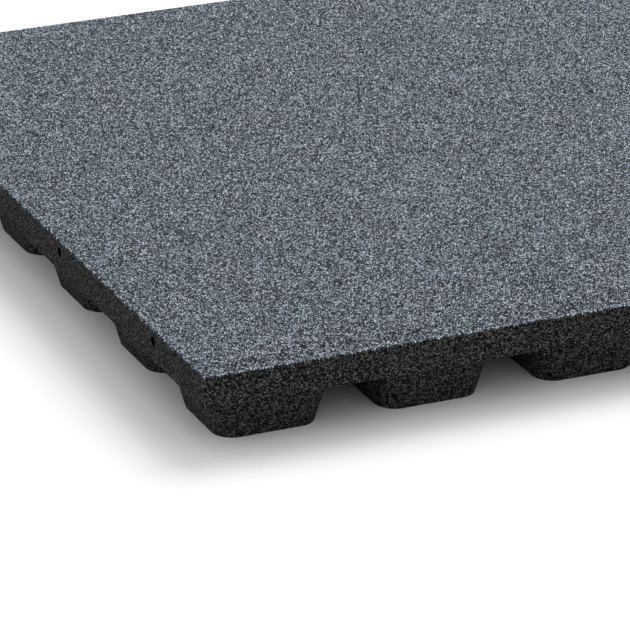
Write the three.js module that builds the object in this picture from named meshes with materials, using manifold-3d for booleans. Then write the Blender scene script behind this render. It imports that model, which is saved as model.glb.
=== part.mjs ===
// A playground safety tile of bound rubber granulate, moulded in one piece: a flat square slab
// that stands on rows of tapered feet, with dowel holes in two opposite sides.
// Millimetres, +Z up. The origin is the middle of the tile, on the ground. X runs along the
// front side, and Y runs from the front side to the back one.
import * as THREE from "three";
import { mergeVertices, toCreasedNormals } from "three/addons/utils/BufferGeometryUtils.js";
import Module from "manifold-3d";

// Slab
const SIDE = 1000;
const SLAB_THICKNESS = 32;
const ARRIS_RADIUS = 3;
const SLAB_CORNER_RADIUS = 5;

// Feet: the width of a foot follows from the setback, the channels and the number of feet
const FEET_PER_SIDE = 6;
const FOOT_HEIGHT = 48;
const FOOT_SETBACK = 16;
const CHANNEL_WIDTH = 40;
const FOOT_LEAN = 12;
const FOOT_CORNER_RADIUS = 26;
const FOOT_EMBED = 4;

// Dowel holes in the two sides that face along X
const HOLES_PER_SIDE = 4;
const HOLE_DIAMETER = 10;
const HOLE_DEPTH = 50;
const HOLE_DROP = 12;
const HOLE_OVERSHOOT = 5;

// How finely round stretches are divided, and how near two points have to be to become one.
// An outline's arc is drawn in twice ARC_SEGMENTS.
const ARC_SEGMENTS = 3;
const ARRIS_STEPS = 3;
const HOLE_STEPS = 16;
const MERGE_DISTANCE = 0.001;
const CREASE_ANGLE = THREE.MathUtils.degToRad(35);

const HEIGHT = FOOT_HEIGHT + SLAB_THICKNESS;
const CHANNELS = FEET_PER_SIDE - 1;
const FOOT_WIDTH = (SIDE - 2 * FOOT_SETBACK - CHANNELS * CHANNEL_WIDTH) / FEET_PER_SIDE;
const FOOT_PITCH = FOOT_WIDTH + CHANNEL_WIDTH;
const FIRST_FOOT = -SIDE / 2 + FOOT_SETBACK + FOOT_WIDTH / 2;
const HOLE_PITCH = SIDE / HOLES_PER_SIDE;
const FIRST_HOLE = -SIDE / 2 + HOLE_PITCH / 2;

const wasm = await Module();
wasm.setup();

// A closed geometry as a solid that can be joined and cut
function solidFrom(geometry) {
  geometry.deleteAttribute("normal");
  geometry.deleteAttribute("uv");
  const merged = mergeVertices(geometry, MERGE_DISTANCE);
  const mesh = new wasm.Mesh({
    numProp: 3,
    vertProperties: new Float32Array(merged.getAttribute("position").array),
    triVerts: new Uint32Array(merged.index.array),
  });
  return new wasm.Manifold(mesh);
}

// A finished solid as a geometry whose flat faces and edges stay crisp
function geometryFrom(solid) {
  const mesh = solid.getMesh();
  const geometry = new THREE.BufferGeometry();
  geometry.setAttribute("position", new THREE.BufferAttribute(mesh.vertProperties, 3));
  geometry.setIndex(new THREE.BufferAttribute(mesh.triVerts, 1));
  return toCreasedNormals(geometry, CREASE_ANGLE);
}

// A square outline with four round corners, counter-clockwise, round its own middle
function roundedSquare(side, radius) {
  const shape = new THREE.Shape();
  const reach = side / 2 - radius;
  const quarter = Math.PI / 2;
  for (let corner = 0; corner < 4; corner++) {
    const start = corner * quarter;
    const toCorner = start + quarter / 2;
    const x = Math.sign(Math.cos(toCorner)) * reach;
    const y = Math.sign(Math.sin(toCorner)) * reach;
    shape.absarc(x, y, radius, start, start + quarter);
  }
  return shape;
}

// The slab, with a rounded arris round its top face and a square edge round its underside
function makeSlab() {
  const geometry = new THREE.ExtrudeGeometry(roundedSquare(SIDE, SLAB_CORNER_RADIUS), {
    depth: SLAB_THICKNESS,
    curveSegments: ARC_SEGMENTS,
    bevelThickness: ARRIS_RADIUS,
    bevelSize: ARRIS_RADIUS,
    bevelOffset: -ARRIS_RADIUS,
    bevelSegments: ARRIS_STEPS,
  });
  geometry.translate(0, 0, HEIGHT - SLAB_THICKNESS - ARRIS_RADIUS);
  const belowSlab = new THREE.BoxGeometry(SIDE * 2, SIDE * 2, FOOT_HEIGHT);
  belowSlab.translate(0, 0, FOOT_HEIGHT / 2);
  return solidFrom(geometry).subtract(solidFrom(belowSlab));
}

// How wide a foot is at a height above the ground, as a share of its width at the slab
function footTaper(z) {
  return 1 - (FOOT_LEAN / (FOOT_WIDTH / 2)) * (1 - z / FOOT_HEIGHT);
}

// One foot, leaning in towards the ground on all four sides. It runs up into the slab by
// FOOT_EMBED so that the two become one body.
function makeFoot() {
  const geometry = new THREE.ExtrudeGeometry(roundedSquare(FOOT_WIDTH, FOOT_CORNER_RADIUS), {
    depth: FOOT_HEIGHT + FOOT_EMBED,
    curveSegments: ARC_SEGMENTS,
    bevelEnabled: false,
  });
  const position = geometry.getAttribute("position");
  for (let i = 0; i < position.count; i++) {
    const taper = footTaper(position.getZ(i));
    position.setX(i, position.getX(i) * taper);
    position.setY(i, position.getY(i) * taper);
  }
  return solidFrom(geometry);
}

// What is cut away for one dowel hole: outward is 1 for the right side and -1 for the left
function makeHoleCutter(outward, y) {
  const length = HOLE_DEPTH + HOLE_OVERSHOOT;
  const radius = HOLE_DIAMETER / 2;
  const geometry = new THREE.CylinderGeometry(radius, radius, length, HOLE_STEPS);
  geometry.rotateZ(Math.PI / 2);
  geometry.translate(outward * (SIDE / 2 + HOLE_OVERSHOOT - length / 2), y, HEIGHT - HOLE_DROP);
  return solidFrom(geometry);
}

function makeTileSolid() {
  let tile = makeSlab();
  const foot = makeFoot();
  for (let row = 0; row < FEET_PER_SIDE; row++) {
    for (let column = 0; column < FEET_PER_SIDE; column++) {
      const x = FIRST_FOOT + column * FOOT_PITCH;
      const y = FIRST_FOOT + row * FOOT_PITCH;
      tile = tile.add(foot.translate(x, y, 0));
    }
  }
  for (const outward of [-1, 1]) {
    for (let hole = 0; hole < HOLES_PER_SIDE; hole++) {
      tile = tile.subtract(makeHoleCutter(outward, FIRST_HOLE + hole * HOLE_PITCH));
    }
  }
  return tile;
}

const granulate = new THREE.MeshStandardMaterial({
  name: "slate grey rubber granulate",
  color: new THREE.Color(0x68717a),
  roughness: 0.9,
  metalness: 0,
});

const safetyTile = new THREE.Mesh(geometryFrom(makeTileSolid()), granulate);
safetyTile.name = "safety_tile";

const part = new THREE.Group();
part.add(safetyTile);

export default part;
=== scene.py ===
# %% [markdown]
# A playground safety tile
#
# The real tile is one block of rubber crumbs that were mixed with a binder, filled into a mould
# and pressed. Its top face holds coarser crumbs in slate grey. The sides, the feet and the
# underside are near-black recycled rubber. This lesson dresses the tile's plain solid with that
# crumb surface: first the camera and the light, then the two finishes, then the body with its
# feet, and at last the crumbs of the top face.

import math

import bpy
import numpy as np
from mathutils import Euler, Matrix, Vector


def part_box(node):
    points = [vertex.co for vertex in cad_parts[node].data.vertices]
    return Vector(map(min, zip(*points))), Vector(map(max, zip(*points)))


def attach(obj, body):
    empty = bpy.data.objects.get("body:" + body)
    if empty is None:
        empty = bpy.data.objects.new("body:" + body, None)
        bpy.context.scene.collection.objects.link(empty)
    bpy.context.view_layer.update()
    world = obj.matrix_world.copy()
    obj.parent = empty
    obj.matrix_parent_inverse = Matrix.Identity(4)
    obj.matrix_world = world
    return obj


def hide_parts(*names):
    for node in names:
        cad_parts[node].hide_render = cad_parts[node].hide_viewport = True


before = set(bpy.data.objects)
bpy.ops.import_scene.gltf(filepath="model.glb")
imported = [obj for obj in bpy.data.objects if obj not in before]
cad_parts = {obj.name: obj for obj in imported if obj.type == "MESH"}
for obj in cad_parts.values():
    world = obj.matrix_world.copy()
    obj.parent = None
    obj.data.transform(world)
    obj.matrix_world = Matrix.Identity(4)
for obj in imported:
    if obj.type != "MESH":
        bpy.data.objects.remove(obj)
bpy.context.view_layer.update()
TILE_LOW, TILE_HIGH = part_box("safety_tile")
SIDE = TILE_HIGH.x - TILE_LOW.x
HEIGHT = TILE_HIGH.z
MM = 0.001
print(f"the tile is {SIDE / MM:.0f} mm wide and {HEIGHT / MM:.0f} mm high")

# %% [markdown]
# Camera
#
# The photograph looks down on the nearest corner through a long lens, so the tile's edges hardly
# converge. Four numbers fix such a view: how far the camera is turned and tilted, where it
# stands, and its focal length. They could be tried by eye, but here they come from the lengths
# and directions of the edges in the picture, which is why they aren't round.

# %% Camera
SENSOR_WIDTH = 36.0
IMAGE_WIDTH = 630
FOCAL_PIXELS = 4609.2
CAMERA_TURN = math.radians(-23.657)
CAMERA_TILT = math.radians(-22.501)
CAMERA_PLACE = (-1.9731, -4.1202, 1.7612)

lens = bpy.data.cameras.new("camera")
lens.sensor_width = SENSOR_WIDTH
lens.lens = FOCAL_PIXELS / IMAGE_WIDTH * SENSOR_WIDTH
lens.clip_end = 50.0
camera = bpy.data.objects.new("camera", lens)
camera.location = CAMERA_PLACE
camera.rotation_euler = Euler((math.pi / 2 + CAMERA_TILT, 0, CAMERA_TURN))
bpy.context.scene.collection.objects.link(camera)
bpy.context.scene.camera = camera
print(f"focal length {lens.lens:.0f} mm on a {SENSOR_WIDTH:.0f} mm sensor")

# %% [markdown]
# Floor and light
#
# The tile lies in a white studio: a pale floor, light from all round, and a large soft lamp
# above it. A small hard lamp would draw a sharp shadow, which the photograph doesn't have. The
# view transform is the plain one, so a white floor stays white.

# %% Floor and light
FLOOR_SIZE = 14.0
FLOOR_SHADE = (0.93, 0.93, 0.93, 1)
WORLD_STRENGTH = 0.80
LAMP_SIZE = 4.2
LAMP_POWER = 265.0
LAMP_PLACE = (3.1, 2.25, 5.0)

floor_mesh = bpy.data.meshes.new("floor")
half = FLOOR_SIZE / 2
floor_corners = [(-half, -half, 0), (half, -half, 0), (half, half, 0), (-half, half, 0)]
floor_mesh.from_pydata(floor_corners, [], [(0, 1, 2, 3)])
floor = bpy.data.objects.new("floor", floor_mesh)
bpy.context.scene.collection.objects.link(floor)
floor_paint = bpy.data.materials.new("white studio floor")
floor_paint.use_nodes = True
floor_shader = floor_paint.node_tree.nodes["Principled BSDF"]
floor_shader.inputs["Base Color"].default_value = FLOOR_SHADE
floor_shader.inputs["Roughness"].default_value = 0.9
floor_mesh.materials.append(floor_paint)

world = bpy.data.worlds.new("studio")
world.use_nodes = True
world.node_tree.nodes["Background"].inputs["Color"].default_value = (1.0, 1.0, 1.0, 1)
world.node_tree.nodes["Background"].inputs["Strength"].default_value = WORLD_STRENGTH
bpy.context.scene.world = world

lamp = bpy.data.lights.new("soft lamp", "AREA")
lamp.shape = "SQUARE"
lamp.size = LAMP_SIZE
lamp.energy = LAMP_POWER
lamp_object = bpy.data.objects.new("soft lamp", lamp)
lamp_object.location = LAMP_PLACE
direction = -lamp_object.location
lamp_object.rotation_euler = direction.to_track_quat("-Z", "Y").to_euler()
bpy.context.scene.collection.objects.link(lamp_object)
bpy.context.scene.view_settings.view_transform = "Standard"
print(f"lamp of {LAMP_SIZE} m, {LAMP_POWER} W")

# %% [markdown]
# Helpers for node trees
#
# Shader trees and geometry trees are built in the same way: add a node, then feed its inputs
# with numbers or with the outputs of other nodes. Two short helpers keep the recipes readable.


# %% Node helpers
def add_node(tree, kind, sockets=None, **settings):
    """Adds a node, sets its options, and feeds its inputs with values or other outputs."""
    node = tree.nodes.new(kind)
    for name, value in settings.items():
        setattr(node, name, value)
    for key, value in (sockets or {}).items():
        if isinstance(value, bpy.types.NodeSocket):
            tree.links.new(value, node.inputs[key])
        else:
            node.inputs[key].default_value = value
    return node


def calc(tree, operation, first, second=0.0, clamp=False):
    """One step of arithmetic, as an output that other nodes can use."""
    node = add_node(tree, "ShaderNodeMath", {0: first, 1: second}, operation=operation)
    node.use_clamp = clamp
    return node.outputs[0]


def colour_ramp(tree, factor, stops):
    """A colour for each value from 0 to 1, given as (place, colour) stops."""
    node = add_node(tree, "ShaderNodeValToRGB", {"Fac": factor})
    ramp = node.color_ramp
    while len(ramp.elements) < len(stops):
        ramp.elements.new(1.0)
    for element, (place, colour) in zip(ramp.elements, stops):
        element.position = place
        element.color = (*colour, 1)
    return node.outputs["Color"]


def map_range(tree, value, low, high):
    """0 up to the value low, 1 from the value high on, and even in between."""
    sockets = {"Value": value, "From Min": low, "From Max": high}
    return add_node(tree, "ShaderNodeMapRange", sockets).outputs["Result"]


def mix_colour(tree, factor, first, second, blend_type="MIX"):
    """Two colours mixed by a factor."""
    sockets = {"Factor": factor, 6: first, 7: second}
    node = add_node(tree, "ShaderNodeMix", sockets, data_type="RGBA", blend_type=blend_type)
    return node.outputs[2]


# %% [markdown]
# Rubber crumb pattern
#
# Bonded crumbs show as small cells, each with a tone of its own, with gaps between them that lie
# in shade. A Voronoi texture gives just that: a random colour for each cell, and the distance to
# the cell's edge for the gaps, where the materials paint that shade as a darker colour. Both
# finishes use it, so it is one node group with named inputs. It puts out masks only, and each
# material decides what to do with them. The height is a dome for each cell, some higher than
# others, with a fine grain on it.


# %% Rubber crumb pattern
GRAINS_PER_CRUMB = 2.6
GRAIN_HEIGHT = 0.4
CELL_HEIGHT = 0.5
PATCHES_PER_METRE = 14.0


def make_crumb_pattern():
    """A group that turns a point on the rubber into masks: tone, gap, grain, patch and height."""
    tree = bpy.data.node_groups.new("rubber crumbs", "ShaderNodeTree")
    for name, kind, value in (
        ("Vector", "NodeSocketVector", (0, 0, 0)),
        ("Crumb Size", "NodeSocketFloat", 0.0025),
        ("Gap Width", "NodeSocketFloat", 0.12),
    ):
        tree.interface.new_socket(name, in_out="INPUT", socket_type=kind).default_value = value
    for name in ("Tone", "Gap", "Grain", "Patch", "Height"):
        tree.interface.new_socket(name, in_out="OUTPUT", socket_type="NodeSocketFloat")
    given = tree.nodes.new("NodeGroupInput").outputs
    scale = calc(tree, "DIVIDE", 1.0, given["Crumb Size"])
    cells = add_node(tree, "ShaderNodeTexVoronoi", {"Vector": given["Vector"], "Scale": scale})
    edges = add_node(
        tree,
        "ShaderNodeTexVoronoi",
        {"Vector": given["Vector"], "Scale": scale},
        feature="DISTANCE_TO_EDGE",
    )
    parts = add_node(tree, "ShaderNodeSeparateColor", {0: cells.outputs["Color"]})
    grain_scale = calc(tree, "MULTIPLY", scale, GRAINS_PER_CRUMB)
    grain = add_node(
        tree,
        "ShaderNodeTexNoise",
        {"Vector": given["Vector"], "Scale": grain_scale, "Detail": 3.0, "Roughness": 0.7},
    )
    patch = add_node(
        tree,
        "ShaderNodeTexNoise",
        {"Vector": given["Vector"], "Scale": PATCHES_PER_METRE, "Detail": 4.0},
    )
    inside = map_range(tree, edges.outputs["Distance"], 0.0, given["Gap Width"])
    inside.node.interpolation_type = "SMOOTHSTEP"
    gap = calc(tree, "SUBTRACT", 1.0, inside)
    rise = calc(tree, "MULTIPLY", parts.outputs[2], CELL_HEIGHT)
    dome = calc(tree, "SUBTRACT", rise, cells.outputs["Distance"])
    fine = calc(tree, "MULTIPLY", grain.outputs["Fac"], GRAIN_HEIGHT)
    height = calc(tree, "ADD", dome, fine)
    out = tree.nodes.new("NodeGroupOutput")
    for name, socket in (
        ("Tone", parts.outputs[0]),
        ("Gap", gap),
        ("Grain", grain.outputs["Fac"]),
        ("Patch", patch.outputs["Fac"]),
        ("Height", height),
    ):
        tree.links.new(socket, out.inputs[name])
    return tree


crumb_pattern = make_crumb_pattern()
print("crumb pattern puts out", [s.name for s in crumb_pattern.nodes["Group Output"].inputs][:-1])


# %% Place the pattern in a material
CAST_SHARE = 0.8
BUMP_DEPTH = 0.8 * MM


def new_material(name):
    """A material, its node tree and the shader that stands in it."""
    material = bpy.data.materials.new(name)
    material.use_nodes = True
    tree = material.node_tree
    return material, tree, tree.nodes["Principled BSDF"]


def attribute(tree, name):
    """A value that the mesh brings along under this name."""
    return add_node(tree, "ShaderNodeAttribute", attribute_name=name).outputs["Fac"]


def add_patches(tree, colour, patch, stops):
    """Lets a colour drift a little from patch to patch, as unevenly mixed rubber does."""
    return mix_colour(tree, CAST_SHARE, colour, colour_ramp(tree, patch, stops), "OVERLAY")


def add_relief(tree, shader, height):
    """Gives the finish the pattern's relief as a bump."""
    bump = add_node(tree, "ShaderNodeBump", {"Height": height, "Distance": BUMP_DEPTH})
    tree.links.new(bump.outputs["Normal"], shader.inputs["Normal"])


def add_crumbs(tree, crumb_size, gap_width, keep=(1, 1, 1)):
    """The crumb pattern on the object's own coordinates. A 0 in keep leaves that axis out."""
    place = tree.nodes.new("ShaderNodeTexCoord").outputs["Object"]
    kept = add_node(tree, "ShaderNodeVectorMath", {0: place, 1: keep}, operation="MULTIPLY")
    sockets = {"Vector": kept.outputs[0], "Crumb Size": crumb_size, "Gap Width": gap_width}
    group = tree.nodes.new("ShaderNodeGroup")
    group.node_tree = crumb_pattern
    for key, value in sockets.items():
        if isinstance(value, bpy.types.NodeSocket):
            tree.links.new(value, group.inputs[key])
        else:
            group.inputs[key].default_value = value
    return group.outputs


# %% [markdown]
# Near-black recycled rubber
#
# The body is shredded tyre rubber, almost black, with some crumbs that catch the light. The tone
# of each cell picks its colour from a dark ramp, the gaps between crumbs go darker with painted
# shade, and a bump gives each crumb its relief. The walls of the dowel holes bring along
# hole_wall, which is 1 there, and are painted almost black as shade: hardly any light gets into
# a narrow hole.


# %% Near-black recycled rubber
BLACK_CRUMB = 1.25 * MM
BLACK_GAP = 0.22
# How strongly the gaps between crumbs are darkened with painted shade
BLACK_GAP_SHADE_SHARE = 0.7
# Colour of painted shade, in the dowel holes and in the gaps between crumbs
SHADE_BLACK = (0.002, 0.002, 0.002, 1)
BLACK_ROUGHNESS = 0.55
GRAIN_ROUGHNESS = 0.3
BLACK_STOPS = (
    (0.0, (0.0008, 0.0008, 0.0008)),
    (0.3, (0.0064, 0.0063, 0.0063)),
    (0.6, (0.0372, 0.0363, 0.0364)),
    (1.0, (0.167, 0.164, 0.164)),
)
BLACK_PATCHES = (
    (0.40, (0.50, 0.50, 0.50)),
    (0.65, (0.52, 0.50, 0.487)),
)


def make_black_rubber():
    material, tree, shader = new_material("near-black recycled rubber")
    masks = add_crumbs(tree, BLACK_CRUMB, BLACK_GAP)
    cast = colour_ramp(tree, masks["Tone"], BLACK_STOPS)
    cast = add_patches(tree, cast, masks["Patch"], BLACK_PATCHES)
    # Painted shade: the walls of the dowel holes go almost black
    cast = mix_colour(tree, attribute(tree, "hole_wall"), cast, SHADE_BLACK)
    # Painted shade: the gaps between crumbs go darker
    gap = calc(tree, "MULTIPLY", masks["Gap"], BLACK_GAP_SHADE_SHARE)
    tree.links.new(mix_colour(tree, gap, cast, SHADE_BLACK), shader.inputs["Base Color"])
    grain = calc(tree, "MULTIPLY", masks["Grain"], GRAIN_ROUGHNESS)
    tree.links.new(calc(tree, "ADD", grain, BLACK_ROUGHNESS), shader.inputs["Roughness"])
    shader.inputs["Specular IOR Level"].default_value = 0.03
    add_relief(tree, shader, masks["Height"])
    return material


black_rubber = make_black_rubber()
print(black_rubber.name)

# %% [markdown]
# Slate grey crumbs
#
# On the top face each crumb is a small shape of its own, so the material reads values that the
# mesh brings along. crumb_tone is one number for each crumb and facet_tone one for each of its
# facets. With the tone of the pattern's finer cells they pick a shade of slate. crumb_tint turns a
# few crumbs brownish or greenish. The gaps between the finer cells go darker with painted shade.
# crumb_height is about 0 in the gaps, 1 on the peaks and below 0 in the pits, and what lies deep
# gets painted shade from it, a little in the gaps between crumbs and most in the pits. Only the
# top is slate: from about 2 mm below it down, the crumbs turn as black as the sides, so that no
# coloured band runs round the tile. The pattern is laid on from straight above, so its cells
# don't depend on how steep a facet is.


# %% Slate grey crumbs
SLATE_CRUMB = 1.35 * MM
SLATE_GAP = 0.24
# How strongly the gaps between the finer cells are darkened with painted shade
SLATE_GAP_SHADE_SHARE = 0.85
CRUMB_TONE_SHARE = 0.12
FACET_TONE_SHARE = 0.12
CELL_TONE_SHARE = 0.76
# Colours of painted shade, for the gaps between cells and for what lies deep
GAP_SHADE_SLATE = (0.006, 0.008, 0.011, 1)
DEEP_SHADE_SLATE = (0.012, 0.015, 0.020, 1)
SIDE_BLACK = (0.015, 0.0145, 0.014, 1)
# Crumb heights between which the painted shade of what lies deep fades out
FULL_SHADE_HEIGHT = -0.3
NO_SHADE_HEIGHT = 0.15
SLATE_STOPS = (
    (0.25, (0.003, 0.005, 0.007)),
    (0.42, (0.040, 0.053, 0.070)),
    (0.60, (0.245, 0.312, 0.396)),
    (0.78, (0.740, 0.850, 0.960)),
)
SLATE_PATCHES = (
    (0.35, (0.475, 0.51, 0.505)),
    (0.65, (0.525, 0.50, 0.52)),
)
RIM_BLACK = 2.8 * MM
RIM_SLATE = 2.0 * MM
TINT_STOPS = (
    (0.0, (0.5, 0.5, 0.5)),
    (0.86, (0.5, 0.5, 0.5)),
    (0.90, (0.60, 0.49, 0.36)),
    (0.95, (0.42, 0.53, 0.44)),
)


def make_slate_rubber():
    material, tree, shader = new_material("slate grey rubber crumbs")
    masks = add_crumbs(tree, SLATE_CRUMB, SLATE_GAP, (1, 1, 0))
    tone = calc(tree, "MULTIPLY", attribute(tree, "crumb_tone"), CRUMB_TONE_SHARE)
    facet = calc(tree, "MULTIPLY", attribute(tree, "facet_tone"), FACET_TONE_SHARE)
    fine = calc(tree, "MULTIPLY", masks["Tone"], CELL_TONE_SHARE)
    tone = calc(tree, "ADD", tone, calc(tree, "ADD", facet, fine))
    shade = colour_ramp(tree, tone, SLATE_STOPS)
    tint = colour_ramp(tree, attribute(tree, "crumb_tint"), TINT_STOPS)
    shade = mix_colour(tree, CAST_SHARE, shade, tint, "OVERLAY")
    shade = add_patches(tree, shade, masks["Patch"], SLATE_PATCHES)
    # Painted shade: the gaps between the finer cells go darker
    gap = calc(tree, "MULTIPLY", masks["Gap"], SLATE_GAP_SHADE_SHARE)
    shade = mix_colour(tree, gap, shade, GAP_SHADE_SLATE)
    # Painted shade: the lower a point lies, the pits most, the darker it goes
    depth = map_range(tree, attribute(tree, "crumb_height"), FULL_SHADE_HEIGHT, NO_SHADE_HEIGHT)
    shade = mix_colour(tree, depth, DEEP_SHADE_SLATE, shade)
    place = tree.nodes.new("ShaderNodeTexCoord").outputs["Object"]
    level = add_node(tree, "ShaderNodeSeparateXYZ", {0: place}).outputs["Z"]
    coloured = map_range(tree, level, HEIGHT - RIM_BLACK, HEIGHT - RIM_SLATE)
    tree.links.new(mix_colour(tree, coloured, SIDE_BLACK, shade), shader.inputs["Base Color"])
    shader.inputs["Roughness"].default_value = 0.6
    shader.inputs["Specular IOR Level"].default_value = 0.2
    add_relief(tree, shader, masks["Height"])
    return material


slate_rubber = make_slate_rubber()
print(slate_rubber.name)

# %% [markdown]
# Body outline
#
# The slab and the feet are both rounded squares seen from above. One function gives that
# outline, with its points at even steps, so that the slab's sides and the feet's flanks become
# fine grids whose points can later be pushed about like crumbs. The slab's top has a shallow
# recess for the bed of crumbs, a little deeper than its deepest pit, or flat slab would show
# through the pits.

# %% Sizes of the body
SLAB_THICKNESS = 32 * MM
SLAB_CORNER_RADIUS = 5 * MM
ARRIS_RADIUS = 3 * MM
FEET_PER_SIDE = 6
FOOT_SETBACK = 16 * MM
CHANNEL_WIDTH = 40 * MM
FOOT_LEAN = 12 * MM
FOOT_CORNER_RADIUS = 26 * MM
FOOT_EMBED = 4 * MM
FOOT_HEIGHT = HEIGHT - SLAB_THICKNESS
FOOT_WIDTH = (SIDE - 2 * FOOT_SETBACK - (FEET_PER_SIDE - 1) * CHANNEL_WIDTH) / FEET_PER_SIDE
FOOT_PITCH = FOOT_WIDTH + CHANNEL_WIDTH
CRUMB_BED = 1.4 * MM
print(f"{FEET_PER_SIDE} feet a side, {FOOT_WIDTH / MM:.0f} mm wide, {FOOT_PITCH / MM:.0f} mm apart")


# %% Outline and rings
def rounded_square(side, radius, side_steps, corner_steps):
    """Points round a square with round corners, counter-clockwise, as an array of x and y."""
    reach = side / 2 - radius
    points = []
    for corner in range(4):
        start = corner * math.pi / 2
        middle = start + math.pi / 4
        x = math.copysign(reach, math.cos(middle))
        y = math.copysign(reach, math.sin(middle))
        for step in range(corner_steps + 1):
            turn = start + step / corner_steps * math.pi / 2
            points.append((x + radius * math.cos(turn), y + radius * math.sin(turn)))
        last = np.array(points[-1])
        along = np.array((-math.sin(start + math.pi / 2), math.cos(start + math.pi / 2)))
        for step in range(1, side_steps):
            points.append(tuple(last + along * 2 * reach * step / side_steps))
    return np.array(points)


def solid_from_rings(name, rings):
    """A closed mesh through rings of equal length, from the lowest to the highest, with caps."""
    count = len(rings[0][0])
    places = []
    for outline, z in rings:
        places += [(x, y, z) for x, y in outline]
    faces = [tuple(reversed(range(count)))]
    for row in range(len(rings) - 1):
        for i in range(count):
            j = (i + 1) % count
            low, high = row * count, (row + 1) * count
            faces.append((low + i, low + j, high + j, high + i))
    faces.append(tuple(range((len(rings) - 1) * count, len(rings) * count)))
    mesh = bpy.data.meshes.new(name)
    mesh.from_pydata(places, [], faces)
    return bpy.data.objects.new(name, mesh)


# %% Slab
SLAB_STEP = 2.0 * MM
SLAB_CORNER_STEPS = 4
ARRIS_ROWS = 3
TRAY_INSET = 4.0 * MM
TRAY_DEPTH = 3.0 * MM


def make_slab():
    side_steps = round((SIDE - 2 * SLAB_CORNER_RADIUS) / SLAB_STEP)

    def outline(inset):
        """The slab's outline, drawn in from its sides by the inset."""
        radius = SLAB_CORNER_RADIUS - inset
        return rounded_square(SIDE - 2 * inset, radius, side_steps, SLAB_CORNER_STEPS)

    top = HEIGHT - CRUMB_BED
    flank = SLAB_THICKNESS - CRUMB_BED - ARRIS_RADIUS
    rows = round(flank / SLAB_STEP)
    rings = []
    for row in range(rows + 1):
        rings.append((outline(0.0), FOOT_HEIGHT + flank * row / rows))
    for row in range(1, ARRIS_ROWS + 1):
        turn = row / ARRIS_ROWS * math.pi / 2
        inset = ARRIS_RADIUS * (1 - math.cos(turn))
        rings.append((outline(inset), top - ARRIS_RADIUS * (1 - math.sin(turn))))
    rings.append((outline(TRAY_INSET), HEIGHT - TRAY_DEPTH))
    return solid_from_rings("slab", rings)


slab = make_slab()
print("slab has", len(slab.data.polygons), "faces")


# %% One foot
FOOT_STEP = 4.0 * MM


def make_foot():
    side_steps = round((FOOT_WIDTH - 2 * FOOT_CORNER_RADIUS) / FOOT_STEP)
    corner_steps = round(FOOT_CORNER_RADIUS * math.pi / 2 / FOOT_STEP)
    outline = rounded_square(FOOT_WIDTH, FOOT_CORNER_RADIUS, side_steps, corner_steps)
    rows = round(FOOT_HEIGHT / FOOT_STEP)
    heights = [FOOT_HEIGHT * row / rows for row in range(rows + 1)] + [FOOT_HEIGHT + FOOT_EMBED]
    slope = FOOT_LEAN / (FOOT_WIDTH / 2)
    rings = [(outline * (1 - slope * (1 - z / FOOT_HEIGHT)), z) for z in heights]
    return solid_from_rings("foot", rings)


foot = make_foot()
print("a foot has", len(foot.data.polygons), "faces")


# %% [markdown]
# Rows of feet
#
# The feet repeat on a square grid, so Geometry Nodes set them out: a grid of points, one foot
# on each, and the copies turned into real mesh at the end.


# %% Geometry tree helpers
def new_geometry_tree(name, inputs):
    """A geometry tree with a geometry input and output, and named inputs for its sizes."""
    tree = bpy.data.node_groups.new(name, "GeometryNodeTree")
    tree.interface.new_socket("Geometry", in_out="INPUT", socket_type="NodeSocketGeometry")
    for label, kind in inputs:
        tree.interface.new_socket(label, in_out="INPUT", socket_type=kind)
    tree.interface.new_socket("Geometry", in_out="OUTPUT", socket_type="NodeSocketGeometry")
    return tree, tree.nodes.new("NodeGroupInput").outputs


def finish_tree(tree, geometry, material):
    """Ends a tree as real mesh in one material."""
    real = add_node(tree, "GeometryNodeRealizeInstances", {"Geometry": geometry})
    painted = add_node(
        tree,
        "GeometryNodeSetMaterial",
        {"Geometry": real.outputs[0], "Material": material},
    )
    tree.links.new(painted.outputs[0], tree.nodes.new("NodeGroupOutput").inputs[0])


def run_tree(name, mesh, tree, values):
    """Runs a geometry tree on a mesh and gives back the result as a plain mesh."""
    obj = bpy.data.objects.new(name, mesh)
    bpy.context.scene.collection.objects.link(obj)
    modifier = obj.modifiers.new(name, "NODES")
    modifier.node_group = tree
    for item in tree.interface.items_tree:
        if item.item_type == "SOCKET" and item.in_out == "INPUT" and item.name in values:
            modifier[item.identifier] = values[item.name]
    result = plain_mesh(obj)
    result.name = name
    return result


def plain_mesh(obj):
    """The object's mesh with its modifiers applied; the object itself is removed."""
    bpy.context.view_layer.update()
    graph = bpy.context.evaluated_depsgraph_get()
    mesh = bpy.data.meshes.new_from_object(obj.evaluated_get(graph), depsgraph=graph)
    bpy.data.objects.remove(obj)
    return mesh


# %% Rows of feet
def make_feet_tree():
    tree, given = new_geometry_tree(
        "rows of feet",
        (
            ("Foot", "NodeSocketObject"),
            ("Feet per Side", "NodeSocketInt"),
            ("Span", "NodeSocketFloat"),
            ("Material", "NodeSocketMaterial"),
        ),
    )
    grid = add_node(
        tree,
        "GeometryNodeMeshGrid",
        {
            "Size X": given["Span"],
            "Size Y": given["Span"],
            "Vertices X": given["Feet per Side"],
            "Vertices Y": given["Feet per Side"],
        },
    )
    one = add_node(tree, "GeometryNodeObjectInfo", {"Object": given["Foot"]})
    feet = add_node(
        tree,
        "GeometryNodeInstanceOnPoints",
        {"Points": grid.outputs["Mesh"], "Instance": one.outputs["Geometry"]},
    )
    finish_tree(tree, feet.outputs[0], given["Material"])
    return tree


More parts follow.
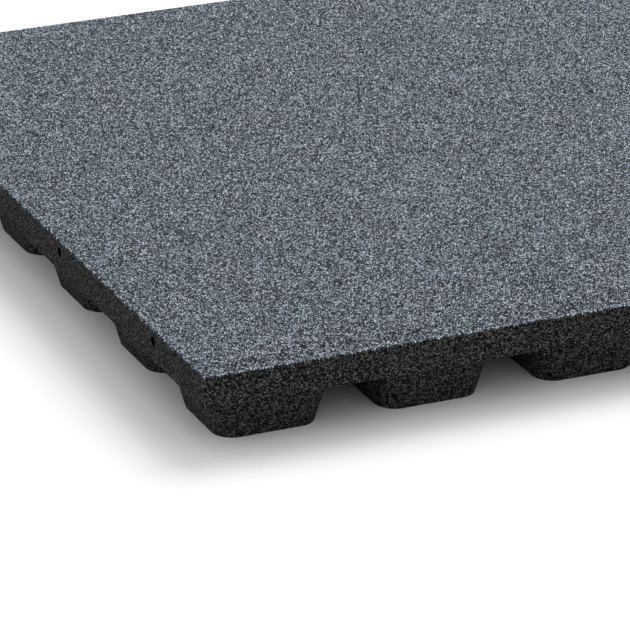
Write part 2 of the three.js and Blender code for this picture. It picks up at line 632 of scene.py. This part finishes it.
bpy.context.scene.collection.objects.link(foot)
feet_mesh = run_tree(
    "feet",
    bpy.data.meshes.new("feet start"),
    make_feet_tree(),
    {
        "Foot": foot,
        "Feet per Side": FEET_PER_SIDE,
        "Span": (FEET_PER_SIDE - 1) * FOOT_PITCH,
        "Material": black_rubber,
    },
)
bpy.data.objects.remove(foot)
print("the feet have", len(feet_mesh.polygons), "faces")

# %% [markdown]
# Dowel holes, and one body
#
# Two opposite sides have blind round holes for dowels. The holes are cut, and the feet are
# joined on, by booleans, so that the body is one closed mesh as the moulded block is.

# %% Dowel holes
HOLES_PER_SIDE = 4
HOLE_RADIUS = 5 * MM
HOLE_DEPTH = 50 * MM
HOLE_DROP = 12 * MM
HOLE_OVERSHOOT = 5 * MM
HOLE_STEPS = 24


def make_hole_pegs():
    """Round pegs where the holes will be, as one mesh."""
    places, faces = [], []
    pitch = SIDE / HOLES_PER_SIDE
    for outward in (-1, 1):
        for hole in range(HOLES_PER_SIDE):
            y = (hole + 0.5) * pitch - SIDE / 2
            first = len(places)
            for x in (SIDE / 2 - HOLE_DEPTH, SIDE / 2 + HOLE_OVERSHOOT):
                for step in range(HOLE_STEPS):
                    turn = 2 * math.pi * step / HOLE_STEPS
                    out = HOLE_RADIUS * math.cos(turn), HOLE_RADIUS * math.sin(turn)
                    places.append((outward * x, y + outward * out[0], HEIGHT - HOLE_DROP + out[1]))
            inner = list(range(first, first + HOLE_STEPS))
            outer = list(range(first + HOLE_STEPS, first + 2 * HOLE_STEPS))
            faces += [tuple(reversed(inner)), tuple(outer)]
            for i in range(HOLE_STEPS):
                j = (i + 1) % HOLE_STEPS
                faces.append((inner[i], inner[j], outer[j], outer[i]))
    mesh = bpy.data.meshes.new("pegs")
    mesh.from_pydata(places, [], faces)
    return mesh


# %% Join the body
def with_boolean(obj, mesh, operation):
    """Adds a boolean of another mesh to an object."""
    other = bpy.data.objects.new("other", mesh)
    bpy.context.scene.collection.objects.link(other)
    modifier = obj.modifiers.new(operation, "BOOLEAN")
    modifier.operation = operation
    modifier.solver = "MANIFOLD"
    modifier.object = other
    return other


bpy.context.scene.collection.objects.link(slab)
others = [with_boolean(slab, feet_mesh, "UNION"), with_boolean(slab, make_hole_pegs(), "DIFFERENCE")]
body_mesh = plain_mesh(slab)
for other in others:
    bpy.data.objects.remove(other)
print("the body has", len(body_mesh.polygons), "faces")


# %% [markdown]
# Crumb relief on the body
#
# Each point of the side grids moves inwards by a random amount, up to the depth of a crumb. It
# only moves sideways, so that the feet stay flat on the ground, and never outwards, so that the
# tile keeps its size.


# %% Crumb relief on the body
def make_relief_tree():
    tree, given = new_geometry_tree(
        "crumb relief",
        (
            ("Relief Depth", "NodeSocketFloat"),
            ("Crumb Size", "NodeSocketFloat"),
            ("Material", "NodeSocketMaterial"),
        ),
    )
    place = tree.nodes.new("GeometryNodeInputPosition").outputs[0]
    noise = add_node(
        tree,
        "ShaderNodeTexNoise",
        {
            "Vector": place,
            "Scale": calc(tree, "DIVIDE", 1.0, given["Crumb Size"]),
            "Detail": 1.0,
            "Roughness": 0.5,
        },
    )
    spread = map_range(tree, noise.outputs["Fac"], 0.3, 0.7)
    depth = calc(tree, "MULTIPLY", spread, given["Relief Depth"])
    normal = tree.nodes.new("GeometryNodeInputNormal").outputs[0]
    level = add_node(
        tree, "ShaderNodeVectorMath", {0: normal, 1: (-1, -1, 0)}, operation="MULTIPLY"
    )
    push = add_node(
        tree,
        "ShaderNodeVectorMath",
        {0: level.outputs[0], "Scale": depth},
        operation="SCALE",
    )
    moved = add_node(
        tree,
        "GeometryNodeSetPosition",
        {"Geometry": given["Geometry"], "Offset": push.outputs[0]},
    )
    finish_tree(tree, moved.outputs[0], given["Material"])
    return tree


body_mesh = run_tree(
    "tile_body",
    body_mesh,
    make_relief_tree(),
    {"Relief Depth": 0.55 * MM, "Crumb Size": 2.4 * MM, "Material": black_rubber},
)


# %% Mark the walls of the dowel holes
WALL_MARGIN = 1.0 * MM


def mark_hole_walls(mesh):
    """Keeps 1 on each face that lies well inside the slab, as only the holes' walls do."""
    middles = np.empty(len(mesh.polygons) * 3, np.float32)
    mesh.polygons.foreach_get("center", middles)
    middles = middles.reshape(-1, 3)
    inside = np.abs(middles[:, 0]) < SIDE / 2 - WALL_MARGIN
    inside &= np.abs(middles[:, 1]) < SIDE / 2 - 2 * SLAB_CORNER_RADIUS
    inside &= middles[:, 2] > FOOT_HEIGHT + WALL_MARGIN
    inside &= middles[:, 2] < HEIGHT - ARRIS_RADIUS - CRUMB_BED
    layer = mesh.attributes.new("hole_wall", "FLOAT", "FACE")
    layer.data.foreach_set("value", inside.astype(np.float32))
    return int(inside.sum())


# The black rubber paints these faces almost black as shade.
print("faces in the dowel holes:", mark_hole_walls(body_mesh))
tile_body = bpy.data.objects.new("tile_body", body_mesh)
bpy.context.scene.collection.objects.link(tile_body)
body_mesh.calc_loop_triangles()
print("tile_body has", len(body_mesh.loop_triangles), "triangles")

# %% [markdown]
# Crumbs of the top face
#
# The top face is a bed of crumbs that touch one another. Scattered loose shapes would overlap
# and cost far more faces. So a grid of points, pushed about at random, is turned into its dual
# mesh, in which each point becomes a cell, like the cells of a honeycomb gone wild. Each cell is
# drawn up to a peak, which makes a small faceted crumb of six or so triangles. Near the tile's
# edge the bed rolls over the rounded arris and lies smoother, so that the edge stays a clean
# line. In a belt along the front side the photograph shows more dark gaps than elsewhere, so
# some crumbs there lie in pits, which the slate material darkens with painted shade.

# %% Sizes of the crumb bed
CRUMB_PITCH = 3.0 * MM
CRUMB_RELIEF = 1.5 * MM
CRUMB_JITTER = 0.30
EDGE_CLEARANCE = 0.2 * MM
CRUMB_SEED = 7
RIM_WIDTH = 6 * MM
PIT_SIZE = 4.5 * MM
PIT_DEPTH = 0.9
BELT_START = 4 * MM
BELT_END = 43 * MM
BELT_FADE = 10 * MM
PIT_START = 0.575
PIT_FULL = 0.605
GAP_RISE = (0.0, 0.35)
PEAK_RISE = (0.55, 1.0)
RIM_RELIEF = 0.35
ROW_RATIO = math.sqrt(3) / 2
MERGE_DISTANCE = 0.01 * MM
TONE_SEED, TINT_SEED, FACET_SEED = 11, 12, 13
GAP_SEED, PEAK_SEED = 21, 22


# %% Helpers for the crumb bed
def random_value(tree, low, high, seed, kind="FLOAT"):
    """A random number, or vector, for each element."""
    node = add_node(tree, "FunctionNodeRandomValue", data_type=kind)
    at = {"FLOAT": ("Min", "Max", 2, 3, 1), "FLOAT_VECTOR": ("Min", "Max", 0, 1, 0)}[kind]
    node.inputs[at[2]].default_value = low
    node.inputs[at[3]].default_value = high
    if isinstance(seed, bpy.types.NodeSocket):
        tree.links.new(seed, node.inputs["Seed"])
    else:
        node.inputs["Seed"].default_value = seed
    return node.outputs[at[4]]


def store(tree, geometry, name, domain, value):
    """Keeps a value on the mesh under a name that the material can read."""
    sockets = {"Geometry": geometry, "Name": name, "Value": value}
    node = add_node(
        tree, "GeometryNodeStoreNamedAttribute", sockets, data_type="FLOAT", domain=domain
    )
    return node.outputs[0]


def minus_one_to_one(tree, seed):
    """A random step sideways, from -1 to 1 along X and Y."""
    return random_value(tree, (-1, -1, 0), (1, 1, 0), seed, "FLOAT_VECTOR")


# %% Flat cells
def strewn_cells(tree, given):
    """Flat random cells: a honeycomb grid is pushed about, and each of its points made a cell."""
    pitch = given["Crumb Pitch"]
    columns = calc(tree, "ROUND", calc(tree, "DIVIDE", given["Side"], pitch))
    row_pitch = calc(tree, "MULTIPLY", pitch, ROW_RATIO)
    rows = calc(tree, "ROUND", calc(tree, "DIVIDE", given["Side"], row_pitch))
    sizes = {"Size X": given["Side"], "Size Y": given["Side"], "Vertices X": columns, "Vertices Y": rows}
    grid = add_node(tree, "GeometryNodeMeshGrid", sizes)
    index = tree.nodes.new("GeometryNodeInputIndex").outputs[0]
    odd = calc(tree, "MODULO", calc(tree, "MODULO", index, rows), 2.0)
    half_pitch = calc(tree, "MULTIPLY", pitch, 0.5)
    shift = calc(tree, "MULTIPLY", calc(tree, "SUBTRACT", odd, 0.5), half_pitch)
    shift = add_node(tree, "ShaderNodeCombineXYZ", {"X": shift}).outputs[0]
    reach = calc(tree, "MULTIPLY", pitch, given["Jitter"])
    stray = {0: minus_one_to_one(tree, given["Seed"]), "Scale": reach}
    stray = add_node(tree, "ShaderNodeVectorMath", stray, operation="SCALE").outputs[0]
    offset = add_node(tree, "ShaderNodeVectorMath", {0: shift, 1: stray}, operation="ADD").outputs[0]
    sockets = {"Geometry": grid.outputs["Mesh"], "Offset": offset}
    strewn = add_node(tree, "GeometryNodeSetPosition", sockets).outputs[0]
    halves = add_node(
        tree, "GeometryNodeTriangulate", {"Mesh": strewn}, quad_method="SHORTEST_DIAGONAL"
    )
    return add_node(tree, "GeometryNodeDualMesh", {"Mesh": halves.outputs[0]}).outputs[0]


# %% Pointed crumbs
def pointed_crumbs(tree, cells):
    """Keeps a tone and a tint on each cell, then draws its middle together to one point."""
    toned = store(tree, cells, "crumb_tone", "FACE", random_value(tree, 0.0, 1.0, TONE_SEED))
    tinted = store(tree, toned, "crumb_tint", "FACE", random_value(tree, 0.0, 1.0, TINT_SEED))
    sockets = {"Mesh": tinted, "Offset Scale": 0.0, "Individual": True}
    raised = add_node(tree, "GeometryNodeExtrudeMesh", sockets, mode="FACES")
    middle = raised.outputs["Top"]
    facet = random_value(tree, 0.0, 1.0, FACET_SEED)
    facets = store(tree, raised.outputs["Mesh"], "facet_tone", "FACE", facet)
    marked = store(tree, facets, "crumb_peak", "POINT", middle)
    sockets = {"Geometry": marked, "Selection": middle, "Scale": 0.0}
    pinched = add_node(tree, "GeometryNodeScaleElements", sockets, domain="FACE").outputs[0]
    sockets = {"Geometry": pinched, "Distance": MERGE_DISTANCE}
    return add_node(tree, "GeometryNodeMergeByDistance", sockets).outputs[0]


# %% Height of each point, and the belt of pits
def belt_of_pits(tree, given, place, along_y):
    """1 in the pits and 0 elsewhere. They lie only in a belt along the front side."""
    from_front = calc(tree, "ADD", along_y, calc(tree, "MULTIPLY", given["Side"], 0.5))
    full_from = calc(tree, "ADD", given["Belt Start"], given["Belt Fade"])
    full_to = calc(tree, "SUBTRACT", given["Belt End"], given["Belt Fade"])
    starts = map_range(tree, from_front, given["Belt Start"], full_from)
    ends = map_range(tree, from_front, full_to, given["Belt End"])
    belt = calc(tree, "SUBTRACT", starts, ends)
    scale = calc(tree, "DIVIDE", 1.0, given["Pit Size"])
    lumps = add_node(tree, "ShaderNodeTexNoise", {"Vector": place, "Scale": scale, "Detail": 1.0})
    return calc(tree, "MULTIPLY", map_range(tree, lumps.outputs["Fac"], PIT_START, PIT_FULL), belt)


def crumb_rise(tree, given, place, along_y):
    """How high each point lies: low in the gaps, high on the peaks, lower still in the pits."""
    sockets = {"Name": "crumb_peak"}
    peak = add_node(tree, "GeometryNodeInputNamedAttribute", sockets, data_type="FLOAT").outputs[0]
    low = random_value(tree, *GAP_RISE, GAP_SEED)
    high = random_value(tree, *PEAK_RISE, PEAK_SEED)
    rise = add_node(tree, "ShaderNodeMix", {"Factor": peak, 2: low, 3: high}, data_type="FLOAT")
    pits = belt_of_pits(tree, given, place, along_y)
    return calc(tree, "SUBTRACT", rise.outputs[0], calc(tree, "MULTIPLY", pits, given["Pit Depth"]))


# %% Place of each point
def bed_place(tree, given, along, rise):
    """Where each point of the bed goes: inside the tile's sides, over the arris, up by its rise."""
    half_side = calc(tree, "MULTIPLY", given["Side"], 0.5)
    limit = calc(tree, "SUBTRACT", half_side, given["Edge Clearance"])
    other_limit = calc(tree, "MULTIPLY", limit, -1.0)
    x, y = [
        calc(tree, "MAXIMUM", calc(tree, "MINIMUM", along[axis], limit), other_limit)
        for axis in (0, 1)
    ]
    furthest = calc(tree, "MAXIMUM", calc(tree, "ABSOLUTE", x), calc(tree, "ABSOLUTE", y))
    from_edge = calc(tree, "SUBTRACT", half_side, furthest)
    radius = given["Arris Radius"]
    over = calc(tree, "SUBTRACT", 1.0, calc(tree, "DIVIDE", from_edge, radius), clamp=True)
    square = calc(tree, "MULTIPLY", over, over)
    drop = calc(tree, "SUBTRACT", 1.0, calc(tree, "SQRT", calc(tree, "SUBTRACT", 1.0, square)))
    drop = calc(tree, "MULTIPLY", drop, radius)
    inwards = map_range(tree, from_edge, 0.0, given["Rim Width"])
    rough = calc(tree, "ADD", RIM_RELIEF, calc(tree, "MULTIPLY", 1.0 - RIM_RELIEF, inwards))
    relief = calc(tree, "MULTIPLY", given["Relief"], rough)
    sink = calc(tree, "MULTIPLY", calc(tree, "SUBTRACT", 1.0, rise), relief)
    level = calc(tree, "SUBTRACT", calc(tree, "SUBTRACT", given["Top"], drop), sink)
    return add_node(tree, "ShaderNodeCombineXYZ", {"X": x, "Y": y, "Z": level}).outputs[0]


# %% Bed of crumbs
BED_SIZES = {
    "Side": SIDE,
    "Top": HEIGHT,
    "Crumb Pitch": CRUMB_PITCH,
    "Jitter": CRUMB_JITTER,
    "Relief": CRUMB_RELIEF,
    "Arris Radius": ARRIS_RADIUS,
    "Edge Clearance": EDGE_CLEARANCE,
    "Rim Width": RIM_WIDTH,
    "Pit Size": PIT_SIZE,
    "Pit Depth": PIT_DEPTH,
    "Belt Start": BELT_START,
    "Belt End": BELT_END,
    "Belt Fade": BELT_FADE,
}


def make_crumb_bed_tree():
    inputs = [(name, "NodeSocketFloat") for name in BED_SIZES]
    inputs += [("Seed", "NodeSocketInt"), ("Material", "NodeSocketMaterial")]
    tree, given = new_geometry_tree("bed of crumbs", inputs)
    crumbs = pointed_crumbs(tree, strewn_cells(tree, given))
    place = tree.nodes.new("GeometryNodeInputPosition").outputs[0]
    along = add_node(tree, "ShaderNodeSeparateXYZ", {0: place}).outputs
    rise = crumb_rise(tree, given, place, along["Y"])
    # crumb_height also drives the slate material's painted shade: the deeper a point, the darker
    kept = store(tree, crumbs, "crumb_height", "POINT", rise)
    sockets = {"Geometry": kept, "Position": bed_place(tree, given, along, rise)}
    laid = add_node(tree, "GeometryNodeSetPosition", sockets).outputs[0]
    finish_tree(tree, laid, given["Material"])
    return tree


bed_mesh = run_tree(
    "bed",
    bpy.data.meshes.new("bed start"),
    make_crumb_bed_tree(),
    {**BED_SIZES, "Seed": CRUMB_SEED, "Material": slate_rubber},
)
print("the bed has", len(bed_mesh.polygons), "faces")


# %% [markdown]
# Four quarters
#
# A single mesh of the whole bed would be very heavy, so it is cut into quarters along the
# outlines of its crumbs, where no seam can show. Each quarter gets walls and a floor of its own,
# which reach into the body below, so that it is closed.


# %% Cut and close the quarters
def read(mesh, name, kind="value", width=1):
    """An attribute of a mesh as an array."""
    data = mesh.attributes[name].data
    values = np.empty(len(data) * width, np.float32)
    data.foreach_get(kind, values)
    return values.reshape(-1, width) if width > 1 else values


def closed_quarter(name, places, corners, face_values, rise, bottom):
    """The crumbs given by corners as a closed mesh with walls down to a flat floor."""
    used, flat = np.unique(corners, return_inverse=True)
    corners = flat.reshape(-1, 3)
    count = len(used)
    edges = np.concatenate([corners[:, [0, 1]], corners[:, [1, 2]], corners[:, [2, 0]]])
    key = edges[:, 0].astype(np.int64) * count + edges[:, 1]
    twin = edges[:, 1].astype(np.int64) * count + edges[:, 0]
    border = edges[~np.isin(key, twin)]
    follows = dict(border.tolist())
    loop = [int(border[0][0])]
    while follows[loop[-1]] != loop[0]:
        loop.append(follows[loop[-1]])
    assert len(loop) == len(border), "the border of a quarter is one loop"
    low = {v: count + i for i, v in enumerate(loop)}
    floor_points = places[used[loop]].copy()
    floor_points[:, 2] = bottom
    faces = corners.tolist()
    faces += [(b, a, low[a], low[b]) for a, b in border.tolist()]
    faces.append(tuple(low[v] for v in reversed(loop)))
    mesh = bpy.data.meshes.new(name)
    mesh.from_pydata(np.concatenate([places[used], floor_points]).tolist(), [], faces)
    extra = len(faces) - len(corners)
    for label, values in face_values.items():
        layer = mesh.attributes.new(label, "FLOAT", "FACE")
        layer.data.foreach_set("value", np.append(values, np.zeros(extra)).astype(np.float32))
    layer = mesh.attributes.new("crumb_height", "FLOAT", "POINT")
    layer.data.foreach_set("value", np.append(rise[used], np.zeros(len(loop))).astype(np.float32))
    mesh.materials.append(slate_rubber)
    return bpy.data.objects.new(name, mesh)


BED_DEPTH = 4.5 * MM
BED_BOTTOM = HEIGHT - BED_DEPTH
FACE_VALUES = ("crumb_tone", "crumb_tint", "facet_tone")
places = read(bed_mesh, "position", "vector", 3)
corners = np.empty(len(bed_mesh.loops), np.int32)
bed_mesh.loops.foreach_get("vertex_index", corners)
assert len(corners) == 3 * len(bed_mesh.polygons), "every face of the bed is a triangle"
corners = corners.reshape(-1, 3)
inner = np.abs(places[:, :2]).max(axis=1) < SIDE / 2 - TRAY_INSET
deepest = places[inner, 2].min()
print(f"deepest pit {(HEIGHT - deepest) / MM:.2f} mm down, recess {TRAY_DEPTH / MM:.2f} mm down")
peak = read(bed_mesh, "crumb_peak")
tip = corners[np.arange(len(corners)), np.argmax(peak[corners], axis=1)]
quarters = []
for label, outward_x, outward_y in (
    ("front_left", -1, -1),
    ("front_right", 1, -1),
    ("back_left", -1, 1),
    ("back_right", 1, 1),
):
    here = (places[tip, 0] * outward_x > 0) & (places[tip, 1] * outward_y > 0)
    quarter = closed_quarter(
        f"top_crumbs_{label}",
        places,
        corners[here],
        {label: read(bed_mesh, label)[here] for label in FACE_VALUES},
        read(bed_mesh, "crumb_height"),
        BED_BOTTOM,
    )
    bpy.context.scene.collection.objects.link(quarter)
    quarters.append(quarter)
    print(quarter.name, "has", len(quarter.data.polygons), "faces")
bpy.data.meshes.remove(bed_mesh)

# %% [markdown]
# Hand over to the frame
#
# The body and the four quarters of the top stand for the plain solid together, and all of them
# belong to the tile's only body.

# %% Hand over to the frame
for piece in (tile_body, *quarters):
    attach(piece, "root")
    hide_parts("safety_tile")
